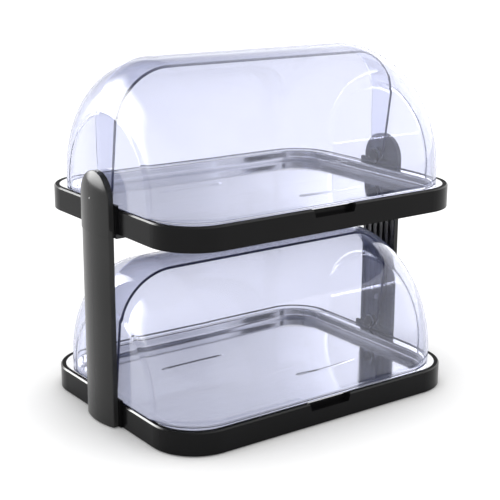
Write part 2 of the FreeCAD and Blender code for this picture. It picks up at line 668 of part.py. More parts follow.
def post_block(name, swell, inset, low, high):
    """Solid post shape between two heights; with no upper height it ends in a round dome."""
    body = new_body(name, keep=False)
    half = f"(sizes.post_half_width + {swell})"
    strip = f"(sizes.post_strip + {swell} - {inset})"
    section = new_sketch(body, "section", "XY_Plane", low)
    post_section(section, half, strip, "sizes.post_bulge", inset)
    pad(body, section, f"{high or DOME_CENTRE} - {low}")
    if not high:
        dome = new_sketch(body, "dome", "XY_Plane", DOME_CENTRE)
        post_half_section(dome, half, strip, "sizes.post_bulge", inset)
        turned(body, "Revolution", dome)
    return body


def soften_edge(body, swell):
    """Small round along the edge between the side strip and the bowed face."""
    doc.recompute()
    edge_x = body.Shape.BoundBox.XMin + number("post_strip") + swell
    dress(body, "Fillet", edges_where(body, lambda point: near(point.x, edge_x)), "sizes.post_edge_fillet")


def post_cover(side, part):
    """Hollow outer cover of a post: the column up to the upper base, or the domed cap above it."""
    base_gap = "sizes.post_joint_gap"
    spans = {"column": (LOWER_TIER, f"({POST_JOINT} - {base_gap})"), "cap": (POST_JOINT, None)}
    low, high = spans[part]
    swell = "sizes.cap_swell" if part == "cap" else "0"
    name = f"{side}_post_{part}"
    outer = post_block(f"{name}_outside", swell, "0", low, high)
    soften_edge(outer, number("cap_swell") if part == "cap" else 0.0)
    inner = post_block(f"{name}_inside", "-sizes.post_wall", "-sizes.post_wall", f"({low} - sizes.post_wall)",
                       f"({high} + sizes.post_wall)" if high else None)
    hollow = doc.addObject("Part::Cut", f"{name}_hollow")
    hollow.Base = outer
    hollow.Tool = inner
    bosses = []
    for index, height in enumerate(COVER_SCREWS[part]):
        start = f"({SPINE_BACK} + sizes.boss_gap)"
        reach = f"{POST_FACE} + sizes.post_strip + sizes.post_bulge - sizes.post_wall / 2 - {start}"
        solid = along_x(f"{name}_boss_{index}", start, reach, "sizes.boss_diameter / 2", height)
        depth = f"{reach} - sizes.post_wall / 2"
        pilot = along_x(f"{name}_pilot_{index}", start, depth, f"{SCREW_HOLE} / 2", height)
        boss = doc.addObject("Part::Cut", f"{name}_boss_{index}_bored")
        boss.Base = solid
        boss.Tool = pilot
        bosses.append(boss)
    cover = doc.addObject("Part::MultiFuse", name)
    cover.Label = name
    cover.Shapes = [hollow] + bosses
    place(cover, None, SIDES[side])
    nodes.append(cover)


def spine(side):
    """Ribbed inner member of a post: it carries the upper base on a rounded shelf, and the hinge pins."""
    body = new_body(f"{side}_post_spine")
    half = "(sizes.post_half_width - sizes.post_wall - sizes.spine_side_gap)"
    plate = new_sketch(body, "plate", "XY_Plane", LOWER_TIER)
    rectangle(plate, POST_FACE, SPINE_BACK, f"-{half}", half)
    pad(body, plate, f"{DOME_CENTRE} - {LOWER_TIER}")
    round_top = new_sketch(body, "round_top", "YZ_Plane", POST_FACE, DOME_CENTRE)
    circle_at(round_top, half)
    pad(body, round_top, SPINE_THICKNESS)

    shelf_back = f"({SEAT_FACE} - sizes.shelf_gap)"
    shelf = new_sketch(body, "shelf", "XY_Plane", f"{SHELF_TOP} - sizes.shelf_thickness")
    rectangle(shelf, f"{SEAT_FACE} - sizes.shelf_reach", shelf_back,
              "-sizes.seat_width / 2", "sizes.seat_width / 2")
    pad(body, shelf, "sizes.shelf_thickness")
    doc.recompute()
    tip = body.Shape.BoundBox.XMin
    tips = edges_where(body, lambda point: near(point.x, tip) and abs(point.y) > number("post_half_width"))
    dress(body, "Fillet", tips, "sizes.shelf_corner")
    neck = new_sketch(body, "neck", "XY_Plane", f"{SHELF_TOP} - sizes.shelf_thickness")
    rectangle(neck, f"{shelf_back} - sizes.casing_wall", f"{POST_FACE} + {SPINE_THICKNESS} / 2",
              f"-{half} + sizes.neck_inset", f"{half} - sizes.neck_inset")
    pad(body, neck, "sizes.shelf_thickness")

    low = f"({LOWER_TIER} + {RIM} + sizes.groove_margin)"
    high = f"({UPPER_TIER} - sizes.shelf_thickness - sizes.groove_margin)"
    for index in range(int(number("groove_count"))):
        across = f"(({index} - (sizes.groove_count - 1) / 2) * sizes.groove_pitch)"
        groove = new_sketch(body, f"groove_{index}", "YZ_Plane", POST_FACE)
        half_groove = "sizes.groove_width / 2"
        rectangle(groove, f"{across} - {half_groove}", f"{across} + {half_groove}", low, high)
        pocket(body, groove, "sizes.groove_depth", backwards=True)

    holes = new_sketch(body, "holes", "YZ_Plane")
    for base in (LOWER_TIER, UPPER_TIER):
        for across in ("sizes.screw_spread", "-sizes.screw_spread"):
            circle_at(holes, f"{SCREW_HOLE} / 2", across, f"{base} + {SCREW_LEVEL}")
        circle_at(holes, "sizes.pin_diameter / 2 + sizes.pin_running_gap", "0", f"{base} + {PIVOT}")
    for height in COVER_SCREWS["column"] + COVER_SCREWS["cap"]:
        circle_at(holes, f"{SCREW_HOLE} / 2", "0", height)
    pocket(body, holes, THROUGH, both_ways=True)
    sinks = new_sketch(body, "head_recesses", "YZ_Plane", POST_FACE)
    for height in COVER_SCREWS["column"] + COVER_SCREWS["cap"]:
        circle_at(sinks, "sizes.screw_head_diameter / 2 + sizes.screw_hole_gap", "0", height)
    pocket(body, sinks, "sizes.groove_depth", backwards=True)
    place(body, None, SIDES[side])


def cover_screws(side):
    """Screws from the inner face of a spine into the bosses of the post's covers."""
    start = f"({POST_FACE} + sizes.groove_depth)"
    reach = f"{POST_FACE} + sizes.post_strip + sizes.post_bulge - 2 * sizes.post_wall - {start}"
    heights = COVER_SCREWS["column"] + COVER_SCREWS["cap"]
    pieces = [screw(f"{side}_cover_screw_{index}", start, reach, height)
              for index, height in enumerate(heights)]
    group(f"{side}_cover_screws", pieces, None, SIDES[side])


for tier in TIERS:
    base_casing(tier)
    tray(tier)
    hood(tier, "rear", NEST, cut_before, boss_out=False)
    hood(tier, "front", "0", cut_behind, boss_out=True)
    for side in SIDES:
        cold_pack(tier, side)
        hinge_pin(tier, side)
        ring(tier, side, "hub_washer", f"({REAR_END} + sizes.disc_step + sizes.side_gap)",
             f"({REAR_END} + sizes.disc_step + sizes.hood_gap - sizes.side_gap)", "sizes.washer_diameter / 2")
        ring(tier, side, "hinge_bush", f"({FRONT_HUB_FACE} + sizes.side_gap)",
             f"({POST_FACE} - sizes.side_gap / 2)",
             "(sizes.pivot_above_rim - sizes.seat_rise - sizes.bush_seat_gap)")
        base_screws(tier, side)
for side in SIDES:
    post_cover(side, "column")
    post_cover(side, "cap")
    spine(side)
    cover_screws(side)
for across, x_name in ((-1, "left"), (1, "right")):
    for along, y_name in ((-1, "front"), (1, "rear")):
        foot(f"{y_name}_{x_name}_foot", across, along)
doc.recompute()

broken = [item.Label for item in doc.Objects if "Invalid" in item.State or "Error" in item.State]
broken += [node.Label for node in nodes if node.Shape.isNull() or not node.Shape.isValid()]
if broken:
    raise RuntimeError(f"these objects failed: {broken}")

os.makedirs("parts", exist_ok=True)
for node in nodes:
    node.Shape.exportStep(f"parts/{node.Label}.step")
    box = node.Shape.BoundBox
    print(f"{node.Label}: {len(node.Shape.Solids)} solids, {node.Shape.Volume / 1000:.1f} cm3, "
          f"x {box.XMin:.1f} to {box.XMax:.1f}, y {box.YMin:.1f} to {box.YMax:.1f}, "
          f"z {box.ZMin:.1f} to {box.ZMax:.1f}")
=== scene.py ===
import json
from math import acos, asin, cos, pi, radians, sin, sqrt

import bmesh
import bpy
from mathutils import Matrix, Vector


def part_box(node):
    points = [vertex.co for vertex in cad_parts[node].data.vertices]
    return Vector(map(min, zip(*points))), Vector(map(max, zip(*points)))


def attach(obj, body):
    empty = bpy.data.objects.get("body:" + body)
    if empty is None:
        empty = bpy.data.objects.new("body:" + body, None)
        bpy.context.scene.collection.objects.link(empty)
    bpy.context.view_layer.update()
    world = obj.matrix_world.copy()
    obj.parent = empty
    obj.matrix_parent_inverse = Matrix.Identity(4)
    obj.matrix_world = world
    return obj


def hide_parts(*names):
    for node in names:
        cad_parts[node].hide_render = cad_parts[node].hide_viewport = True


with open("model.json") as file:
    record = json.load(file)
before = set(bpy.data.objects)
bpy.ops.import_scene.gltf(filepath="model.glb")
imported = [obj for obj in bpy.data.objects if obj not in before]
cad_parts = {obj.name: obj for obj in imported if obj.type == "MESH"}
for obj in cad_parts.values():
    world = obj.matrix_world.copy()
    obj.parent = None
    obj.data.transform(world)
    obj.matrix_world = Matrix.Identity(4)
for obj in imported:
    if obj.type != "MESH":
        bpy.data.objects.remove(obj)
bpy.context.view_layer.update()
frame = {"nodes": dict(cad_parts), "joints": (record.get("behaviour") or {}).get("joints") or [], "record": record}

# Two-tier roll-top display case: finishes, smooth hoods and trays, camera, floor and light.
# Lengths are in metres, in the frame of the solids: +X to the right, +Y to the back, +Z up.

MM = 0.001
TIERS = ("lower", "upper")
BODY = "case"
COVER_BODY = {tier: f"{tier}_front_cover" for tier in TIERS}

# Places read from the solids. The post seats are the highest part of a base and stand above its rim.
SEAT_RISE = 5 * MM
RIM = {tier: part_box(f"{tier}_base_casing")[1].z - SEAT_RISE for tier in TIERS}
HINGE = {joint["child"]: joint["pos_m"][2] for joint in frame["joints"]}
PIVOT = {tier: HINGE[COVER_BODY[tier]] for tier in TIERS}


def new_object(name, mesh, body, material, stands_for):
    """A mesh piece that rides on a body, takes a finish and stands for solids."""
    piece = bpy.data.objects.new(name, mesh)
    bpy.context.scene.collection.objects.link(piece)
    piece.data.materials.append(material)
    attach(piece, body)
    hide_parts(*stands_for)
    return piece


def mesh_from(name, verts, faces, finish=None):
    """Mesh of points and faces; finish holds the material of each face, by number."""
    mesh = bpy.data.meshes.new(name)
    mesh.from_pydata(verts, [], faces)
    if finish:
        mesh.polygons.foreach_set("material_index", finish)
    mesh.validate()
    mesh.update()
    return mesh


# Shader nodes. A given value is the output of a node, which is linked, or a plain value, which is set.

RAMP_SPAN = (0.3, 0.7)


def new_material(name):
    material = bpy.data.materials.new(name)
    material.use_nodes = True
    return material, material.node_tree, material.node_tree.nodes["Principled BSDF"]


def feed(tree, node, given):
    """Link or set inputs of a node, by name or number."""
    for name, value in given.items():
        if isinstance(value, bpy.types.NodeSocket):
            tree.links.new(value, node.inputs[name])
        else:
            node.inputs[name].default_value = value


def calculate(tree, operation, first, second=None):
    """Result of a calculation with one value or two."""
    node = tree.nodes.new("ShaderNodeMath")
    node.operation = operation
    feed(tree, node, {0: first} if second is None else {0: first, 1: second})
    return node.outputs[0]


def step_between(tree, value, start, end, low, high, smooth=True):
    """Value that goes from low to high while the given value goes from start to end."""
    node = tree.nodes.new("ShaderNodeMapRange")
    if smooth:
        node.interpolation_type = "SMOOTHSTEP"
    feed(tree, node, {"Value": value, "From Min": start, "From Max": end, "To Min": low, "To Max": high})
    return node.outputs["Result"]


def blend(tree, kind, share, first, second):
    """Mix of two plain values (kind FLOAT) or of two colours (kind RGBA)."""
    node = tree.nodes.new("ShaderNodeMix")
    node.data_type = kind
    feed(tree, node, {"Factor": share, "A": first, "B": second})
    return node.outputs["Result"]


def noise(tree, scale, detail=3.0, stretch=(1, 1, 1)):
    """Noise in object space, stretched along an axis where a finish has a direction."""
    place = tree.nodes.new("ShaderNodeTexCoord")
    spread = tree.nodes.new("ShaderNodeMapping")
    feed(tree, spread, {"Vector": place.outputs["Object"], "Scale": stretch})
    texture = tree.nodes.new("ShaderNodeTexNoise")
    feed(tree, texture, {"Vector": spread.outputs["Vector"], "Scale": scale, "Detail": detail})
    return texture.outputs["Fac"]


def ramp_of(tree, texture, low, high):
    """Colour or grey between two, driven by a texture."""
    node = tree.nodes.new("ShaderNodeValToRGB")
    for point, at, value in zip(node.color_ramp.elements, RAMP_SPAN, (low, high)):
        point.position = at
        point.color = (*value, 1) if isinstance(value, tuple) else (value, value, value, 1)
    feed(tree, node, {"Fac": texture})
    return node.outputs["Color"]


def bump(tree, texture, strength, distance):
    """Surface normal of a fine relief."""
    node = tree.nodes.new("ShaderNodeBump")
    feed(tree, node, {"Height": texture, "Strength": strength, "Distance": distance})
    return node.outputs["Normal"]


# Finishes. Roughness and colour run between the two values of a pair.

CLOUD_SCALE = 9.0
RUB_SCALE, RUB_DETAIL = 35.0, 4.0
GRAIN_SCALE, GRAIN_DETAIL = 900.0, 2.0
GRAIN_STRENGTH, GRAIN_DEPTH = 0.25, 0.02 * MM

STEEL_TINTS = ((0.84, 0.845, 0.865), (0.90, 0.903, 0.92))
STEEL_ROUGHNESS = (0.07, 0.12)
ROLL_SCALE, ROLL_STRETCH = 60.0, (0.25, 6.0, 6.0)
ROLL_STRENGTH, ROLL_DEPTH = 0.03, 0.01 * MM
STEEL_SMEAR_SCALE = 7.0

STRAIGHT_TINTS = ((0.875, 0.890, 0.990), (0.900, 0.912, 1.0))
SLANT_TINT = (0.93, 0.937, 0.998, 1)
# Painted shade: the colour to which the clear sheet darkens near its outline, where it is seen along its surface,
# and the span of facing over which it does.
BRINK_SHADE_TINT = (0.45, 0.45, 0.70, 1)
BRINK_SPAN = (0.82, 0.95)
HAZE_SPAN = (0.2, 0.45)
CLEARNESS = (0.98, 0.96)
CLEAR_ROUGHNESS = (0.015, 0.035)
CLEAR_SMEAR_SCALE = 6.0
CLEAR_IOR = 1.46
HAZE_WEIGHT, HAZE_ROUGHNESS, HAZE_TINT = 0.3, 0.6, (0.4, 0.5, 1.0, 1)
RIPPLE_SCALE, RIPPLE_DETAIL = 14.0, 1.0
RIPPLE_STRENGTH, RIPPLE_DEPTH = 0.02, 0.1 * MM

# Painted shade on the cut front edge of the rear hoods: near-black navy colours, barely clear, streaked at random.
EDGE_SHADE_TINTS = ((0.020, 0.020, 0.070), (0.040, 0.040, 0.11))
EDGE_ROUGHNESS = (0.12, 0.22)
EDGE_STREAK_SCALE, EDGE_STREAK_DETAIL = 20.0, 2.0
EDGE_CLEARNESS = 0.08
EDGE_SPECULAR = 0.3


def moulded(name, dark, light, roughness, specular=0.5, metallic=0.0):
    """Moulded part: faint cloudiness, a fine grain, and roughness that varies a little."""
    material, tree, shader = new_material(name)
    rub = noise(tree, RUB_SCALE, RUB_DETAIL)
    grain = noise(tree, GRAIN_SCALE, GRAIN_DETAIL)
    feed(tree, shader, {
        "Base Color": ramp_of(tree, noise(tree, CLOUD_SCALE), dark, light),
        "Roughness": ramp_of(tree, rub, *roughness),
        "Normal": bump(tree, grain, GRAIN_STRENGTH, GRAIN_DEPTH),
        "Specular IOR Level": specular,
        "Metallic": metallic,
    })
    return material


def polished_steel():
    """Stainless sheet: long fine rolling lines, and a bright, slightly soft reflection."""
    material, tree, shader = new_material("polished_steel")
    lines = noise(tree, ROLL_SCALE, stretch=ROLL_STRETCH)
    feed(tree, shader, {
        "Base Color": ramp_of(tree, lines, *STEEL_TINTS),
        "Roughness": ramp_of(tree, noise(tree, STEEL_SMEAR_SCALE), *STEEL_ROUGHNESS),
        "Normal": bump(tree, lines, ROLL_STRENGTH, ROLL_DEPTH),
        "Metallic": 1.0,
    })
    return material


def clear_plastic():
    """Clear sheet with a lavender cast and a faint haze, and painted shade that darkens it into an outline where
    it is seen along its surface.
    """
    material, tree, shader = new_material("clear_plastic")
    smear = noise(tree, CLEAR_SMEAR_SCALE)
    facing = tree.nodes.new("ShaderNodeLayerWeight").outputs["Facing"]
    slanted = blend(tree, "RGBA", facing, ramp_of(tree, smear, *STRAIGHT_TINTS), SLANT_TINT)
    brink_shade = step_between(tree, facing, *BRINK_SPAN, 0.0, 1.0, smooth=False)
    ripple = noise(tree, RIPPLE_SCALE, RIPPLE_DETAIL)
    feed(tree, shader, {
        "Base Color": blend(tree, "RGBA", brink_shade, slanted, BRINK_SHADE_TINT),
        "Transmission Weight": step_between(tree, facing, *HAZE_SPAN, *CLEARNESS, smooth=False),
        "Roughness": ramp_of(tree, smear, *CLEAR_ROUGHNESS),
        "Normal": bump(tree, ripple, RIPPLE_STRENGTH, RIPPLE_DEPTH),
        "IOR": CLEAR_IOR,
        "Sheen Weight": HAZE_WEIGHT,
        "Sheen Roughness": HAZE_ROUGHNESS,
        "Sheen Tint": HAZE_TINT,
    })
    return material


def clear_edge_painted_dark():
    """Cut edge of the clear sheet, coloured dark navy as painted shade for the light that runs along the sheet and
    leaves the edge dark.
    """
    material, tree, shader = new_material("clear_edge_painted_dark")
    streak = noise(tree, EDGE_STREAK_SCALE, EDGE_STREAK_DETAIL)
    feed(tree, shader, {
        "Base Color": ramp_of(tree, streak, *EDGE_SHADE_TINTS),
        "Roughness": ramp_of(tree, streak, *EDGE_ROUGHNESS),
        "Transmission Weight": EDGE_CLEARNESS,
        "Specular IOR Level": EDGE_SPECULAR,
        "IOR": CLEAR_IOR,
    })
    return material


STEEL = polished_steel()
CLEAR = clear_plastic()
CLEAR_EDGE_PAINTED_DARK = clear_edge_painted_dark()
DULL_BLACK = moulded("dull_black", (0.006, 0.006, 0.0065), (0.010, 0.010, 0.011), (0.5, 0.6), 0.06)
BRIGHT_LIP = moulded("bright_lip", (0.004, 0.004, 0.0045), (0.007, 0.007, 0.0075), (0.12, 0.2), 0.6)

SLOT_FINISH = {
    "black_casing": moulded("gloss_black", (0.005, 0.005, 0.0055), (0.008, 0.008, 0.0085),
                            (0.14, 0.22), 0.12),
    "charcoal_post": moulded("charcoal", (0.026, 0.026, 0.026), (0.034, 0.034, 0.034),
                             (0.10, 0.15), 0.24),
    "black_spine": moulded("spine_black", (0.012, 0.012, 0.014), (0.02, 0.02, 0.023), (0.35, 0.5)),
    "steel_tray": STEEL,
    "clear_hood": CLEAR,
    "gel_pack": moulded("gel_pack_skin", (0.45, 0.62, 0.75), (0.55, 0.70, 0.80), (0.3, 0.5)),
    "dark_pin": moulded("pin_dark", (0.02, 0.02, 0.03), (0.035, 0.035, 0.05), (0.2, 0.3)),
    "nylon_ring": moulded("nylon", (0.55, 0.56, 0.62), (0.65, 0.66, 0.7), (0.3, 0.45)),
    "steel_screw": moulded("zinc", (0.5, 0.5, 0.52), (0.6, 0.6, 0.62), (0.25, 0.4), metallic=1.0),
    "rubber_foot": moulded("rubber", (0.015, 0.015, 0.015), (0.025, 0.025, 0.025), (0.6, 0.8)),
}


def dress_solids():
    """Every carried-over solid gets the finish of its slot."""
    for part in frame["record"]["subparts"]:
        solid = frame["nodes"][part["node"]]
        solid.data.materials.clear()
        solid.data.materials.append(SLOT_FINISH[part["material_slot"]])


RIM_SLACK = 0.1 * MM
FLAT_BAND, FLAT_NORMAL = 1.5 * MM, 0.9
SLOPE_BAND, SLOPE_NORMAL = 1.7 * MM, 0.4


def dress_rims():
    """The flat top of each rim is dull, and the slope outside it is glossy."""
    for tier in TIERS:
        mesh = frame["nodes"][f"{tier}_base_casing"].data
        mesh.materials.append(DULL_BLACK)
        mesh.materials.append(BRIGHT_LIP)
        for face in mesh.polygons:
            height = face.center.z - RIM[tier]
            if face.normal.z > FLAT_NORMAL and -FLAT_BAND < height < RIM_SLACK:
                face.material_index = 1
            elif face.normal.z > SLOPE_NORMAL and -SLOPE_BAND < height < RIM_SLACK:
                face.material_index = 2


# Clear hoods: shells turned about the hinge axis, a little rounded along every free edge.
# A turn is measured about the hinge axis: 0 is straight up and a quarter turn is straight to the front.

HOOD_END = 206.5 * MM
HOOD_RADIUS = 149 * MM
HOOD_CORNER = 67 * MM
HOOD_DISC = 95 * MM
WALL = 2.5 * MM
NEST = 4 * MM
DISC_STEP = 1 * MM
STEP_BLEND = 7 * MM
PIVOT_RISE = 12 * MM
REST_GAP = 0.3 * MM
REAR_LAP = 14 * MM
REAR_LEAN = 0.14
FRONT_LAP = 14 * MM
FRONT_LAP_RISE = 45 * MM
EDGE_ROUND = 0.6 * MM
EDGE_STRIP = 1.3 * MM
# Share of the way across an edge, and how far it stands out there as a share of EDGE_ROUND
EDGE_ARC = ((0.2, 0.75), (0.5, 1.0), (0.8, 0.75))
HUB_RADIUS = 10.5 * MM
HUB_BOSS = 1.2 * MM
HUB_SLIT = 0.05 * MM
HUB_SOFT = 0.4 * MM
PIN_BORE = 3.08 * MM
SHARP_ANGLE = radians(35)
# Faces along the profile and round the hoods and hubs
DISC_STEPS, BLEND_STEPS, CORNER_STEPS, CROWN_STEPS = 14, 8, 24, 10
HOOD_STEPS, HUB_STEPS = 64, 48


def shell_profile(inset):
    """Profile of one skin, end to end, as places along X and distances from the hinge axis."""
    end, crown = HOOD_END - inset, HOOD_RADIUS - inset
    corner, disc = HOOD_CORNER - inset, HOOD_DISC - inset
    centre_x, centre_r = end - corner, crown - corner
    face_x = end + DISC_STEP

    def shoulder_x(r):
        return centre_x + sqrt(max(0.0, corner ** 2 - max(0.0, r - centre_r) ** 2))

    low, high = disc - STEP_BLEND / 2, disc + STEP_BLEND / 2
    points = [(face_x, HUB_RADIUS + (low - HUB_RADIUS) * index / DISC_STEPS)
              for index in range(DISC_STEPS)]
    for index in range(BLEND_STEPS + 1):
        share = index / BLEND_STEPS
        r = low + (high - low) * share
        points.append((face_x + (shoulder_x(r) - face_x) * share * share * (3 - 2 * share), r))
    first = asin((high - centre_r) / corner)
    for index in range(1, CORNER_STEPS + 1):
        turn = first + (pi / 2 - first) * index / CORNER_STEPS
        points.append((centre_x + corner * cos(turn), centre_r + corner * sin(turn)))
    points += [(centre_x * (1 - index / CROWN_STEPS), crown) for index in range(1, CROWN_STEPS + 1)]
    return points + [(-x, r) for x, r in reversed(points[:-1])]


def front_start(r):
    """Turn where the front hood ends behind the hinge: a lap slanted near the hub, upright above."""
    slope = (FRONT_LAP - HUB_RADIUS) / FRONT_LAP_RISE
    root = max(0.0, r * r * (1 + slope ** 2) - HUB_RADIUS ** 2)
    height = (sqrt(root) - HUB_RADIUS * slope) / (1 + slope ** 2)
    behind = min(FRONT_LAP, HUB_RADIUS + slope * height)
    return -asin(min(1.0, behind / r))


def rim_turn(r):
    """Turn at which a circle about the axis meets the plane just above the rim."""
    drop = PIVOT_RISE - REST_GAP
    return acos(-min(1.0, drop / r))


def rear_start(r):
    """Turn where the rear hood ends before the hinge, along an edge that leans a little forward."""
    if r <= REAR_LAP:
        return rim_turn(r)
    spread = 1 + REAR_LEAN ** 2
    height = (sqrt(r * r * spread - REAR_LAP ** 2) - REAR_LAP * REAR_LEAN) / spread
    return asin(min(1.0, (REAR_LAP + REAR_LEAN * height) / r))


def shell_point(tier, x, r, turn):
    return Vector((x, -r * sin(turn), PIVOT[tier] + r * cos(turn)))


def hood_mesh(name, tier, inset, limits):
    """Closed shell between two turns. Faces of its first edge take the second material."""
    start_turn, end_turn = limits
    verts, faces, finish = [], [], []
    skins = []
    for depth in (inset, inset + WALL):
        grid = []
        for x, r in shell_profile(depth):
            pull = EDGE_ROUND / r
            low, high = start_turn(r), end_turn(r)
            if low > high:
                low, high = low - pull, high + pull
            else:
                low, high = low + pull, high - pull
            row = []
            strip = EDGE_STRIP / r / abs(high - low)
            for index in range(HOOD_STEPS + 1):
                share = strip + (1 - strip) * (index - 1) / (HOOD_STEPS - 1) if index else 0.0
                row.append(len(verts))
                verts.append(shell_point(tier, x, r, low + (high - low) * share))
            grid.append(row)
        skins.append(grid)
    outside, inside = skins
    count = len(outside)

    def quad(a, b, c, d, kind=0):
        faces.append((a, b, c, d))
        finish.append(kind)

    for index in range(count - 1):
        for step in range(HOOD_STEPS):
            kind = 0 if step else 1
            (a, b), (d, c) = outside[index][step:step + 2], outside[index + 1][step:step + 2]
            quad(a, b, c, d, kind)
            (a, b), (d, c) = inside[index][step:step + 2], inside[index + 1][step:step + 2]
            quad(a, d, c, b, kind)

    def round_edge(step, beyond, kind):
        """Half round between the two skins along one free edge."""
        rows = [[row[step] for row in outside]]
        for share, bulge in EDGE_ARC:
            row = []
            for index in range(count):
                a, b = verts[outside[index][step]], verts[inside[index][step]]
                away = (a - verts[outside[index][beyond]]).normalized()
                row.append(len(verts))
                verts.append(a.lerp(b, share) + away * (EDGE_ROUND * bulge))
            rows.append(row)
        rows.append([row[step] for row in inside])
        for first, second in zip(rows, rows[1:]):
            for index in range(count - 1):
                quad(first[index], first[index + 1], second[index + 1], second[index], kind)

    round_edge(0, 1, 1)
    round_edge(HOOD_STEPS, HOOD_STEPS - 1, 0)
    for index in (0, count - 1):
        for step in range(HOOD_STEPS):
            quad(outside[index][step], outside[index][step + 1],
                 inside[index][step + 1], inside[index][step])
    return mesh_from(name, verts, faces, finish)


def add_ring(work, tier, low_x, high_x, outer, inner):
    """Hub ring round the pin, with softened outer edges, as a closed island of the mesh."""
    section = [(low_x, inner), (low_x, outer - HUB_SOFT), (low_x + HUB_SOFT, outer),
               (high_x - HUB_SOFT, outer), (high_x, outer - HUB_SOFT), (high_x, inner)]
    rows = []
    for x, r in section:
        rows.append([work.verts.new(shell_point(tier, x, r, 2 * pi * index / HUB_STEPS))
                     for index in range(HUB_STEPS)])
    for first, second in zip(rows, rows[1:] + rows[:1]):
        for index in range(HUB_STEPS):
            after = (index + 1) % HUB_STEPS
            work.faces.new((first[index], first[after], second[after], second[index]))


def finish_mesh(mesh, add=None):
    """Let add put in more, turn all faces outward, and shade them smooth but for real corners."""
    work = bmesh.new()
    work.from_mesh(mesh)
    if add:
        add(work)
    bmesh.ops.recalc_face_normals(work, faces=work.faces)
    work.to_mesh(mesh)
    work.free()
    mesh.shade_smooth()
    mesh.set_sharp_from_angle(angle=SHARP_ANGLE)
    mesh.update()
    return mesh


def add_hoods(tier):
    """The outer front hood, and the rear hood inside it, with their hub rings."""
    face = HOOD_END + DISC_STEP
    front_hub = (face - WALL, face + HUB_BOSS)
    rear_hub = (face - NEST - WALL - HUB_BOSS, face - NEST)
    kinds = (
        ("front", 0.0, (front_start, rim_turn), front_hub, COVER_BODY[tier]),
        ("rear", NEST, (rear_start, lambda r: -rim_turn(r)), rear_hub, BODY),
    )
    for kind, inset, limits, hub, body in kinds:
        name = f"{tier}_{kind}_hood"

        def hubs(work):
            for side in (-1, 1):
                low, high = sorted((side * hub[0], side * hub[1]))
                add_ring(work, tier, low, high, HUB_RADIUS - HUB_SLIT, PIN_BORE)

        mesh = finish_mesh(hood_mesh(f"{name}_shell", tier, inset, limits), hubs)
        piece = new_object(f"{name}_shell", mesh, body, CLEAR, (name,))
        # The rear hood's first edge, its front edge, takes the dark painted-shade edge finish; the front hood's
        # stays clear.
        piece.data.materials.append(CLEAR_EDGE_PAINTED_DARK if kind == "rear" else CLEAR)


# Trays: pressed sheet lofted from ring to ring, with two raised crescents on the floor of the well.
# A flange and a well are given by half their length, half their depth and their corner radius.

SHEET = 1 * MM
TRAY_DROP = 0.2 * MM
FLANGE = (203.6 * MM, 153.6 * MM, 50.6 * MM)
WELL = (190 * MM, 140 * MM, 38 * MM)
WELL_DEPTH = 13 * MM
FLOOR_ROUND = 5 * MM
FLOOR_MARGIN = 1.5 * MM
LIP_ROUND = 2 * MM
LIP_MARGIN = 1 * MM
WALL_MARGIN = 0.4 * MM
FLANGE_ROUND = 0.35 * MM
FLANGE_DIP = 0.05 * MM
CRESCENT_LENGTH, CRESCENT_WIDTH, CRESCENT_RISE = 98 * MM, 7 * MM, 1.6 * MM
CRESCENT_TIP = 2.5 * MM
CRESCENT_BLUNT = 30
CRESCENT_SINK, CRESCENT_ROOT = 0.02 * MM, 0.4 * MM
# Middle along X, place of the straight side along Y, and the side to which each crescent bulges
CRESCENTS = ((-48 * MM, 62 * MM, 1), (83 * MM, -48 * MM, -1))
# Faces along the parts of a ring, over the rounds of a tray, and along and across a crescent
BEND_STEPS, STRAIGHT_STEPS = 12, 6
FLOOR_STEPS, LIP_STEPS, UNDER_STEPS = 8, 6, 6
CRESCENT_STEPS, CRESCENT_ROWS = 32, 8


def rounded_ring(half_x, half_y, corner):
    """Points round a rectangle with round corners, the same number for every size."""
    quarters = ((1, 1), (-1, 1), (-1, -1), (1, -1))

    def corner_point(side_x, side_y, degrees):
        centre = Vector((side_x * (half_x - corner), side_y * (half_y - corner)))
        turn = radians(degrees)
        return centre + corner * Vector((cos(turn), sin(turn)))

    points = []
    for number, sides in enumerate(quarters):
        start = 90 * number
        points += [corner_point(*sides, start + 90 * index / BEND_STEPS)
                   for index in range(BEND_STEPS + 1)]
        last, target = points[-1], corner_point(*quarters[(number + 1) % 4], start + 90)
        points += [last.lerp(target, index / STRAIGHT_STEPS) for index in range(1, STRAIGHT_STEPS)]
    return points


def tray_rings(top):
    """Outline and height of every ring, from the floor of the well over the flange to underneath."""
    floor = top - WELL_DEPTH

    def well(offset):
        return tuple(size + offset for size in WELL)

    def flange(inward):
        return tuple(size - inward for size in FLANGE)

    def quarter(steps, start=0):
        return [pi / 2 * index / steps for index in range(start, steps + 1)]

    rings = [(well(-FLOOR_ROUND - FLOOR_MARGIN), floor)]
    for turn in quarter(FLOOR_STEPS):
        rings.append((well(-FLOOR_ROUND + FLOOR_ROUND * sin(turn)), floor + FLOOR_ROUND * (1 - cos(turn))))
    rings.append((well(0), floor + FLOOR_ROUND + WALL_MARGIN))
    rings.append((well(0), top - LIP_ROUND - WALL_MARGIN))
    for turn in quarter(LIP_STEPS):
        rings.append((well(LIP_ROUND * (1 - cos(turn))), top - LIP_ROUND * (1 - sin(turn))))
    rings.append((well(LIP_ROUND + LIP_MARGIN), top))
    rings.append((flange(4 * FLANGE_ROUND), top))
    rings.append((flange(2 * FLANGE_ROUND), top))
    rings.append((flange(FLANGE_ROUND), top - FLANGE_DIP))
    rings.append((FLANGE, top - FLANGE_ROUND))
    rings.append((FLANGE, top - SHEET))
    rings.append((well(SHEET), top - SHEET))
    rings.append((well(SHEET), floor + FLOOR_ROUND))
    outer = FLOOR_ROUND + SHEET
    for turn in quarter(UNDER_STEPS, 1):
        rings.append((well(SHEET - outer * (1 - cos(turn))), floor + FLOOR_ROUND - outer * sin(turn)))
    return rings


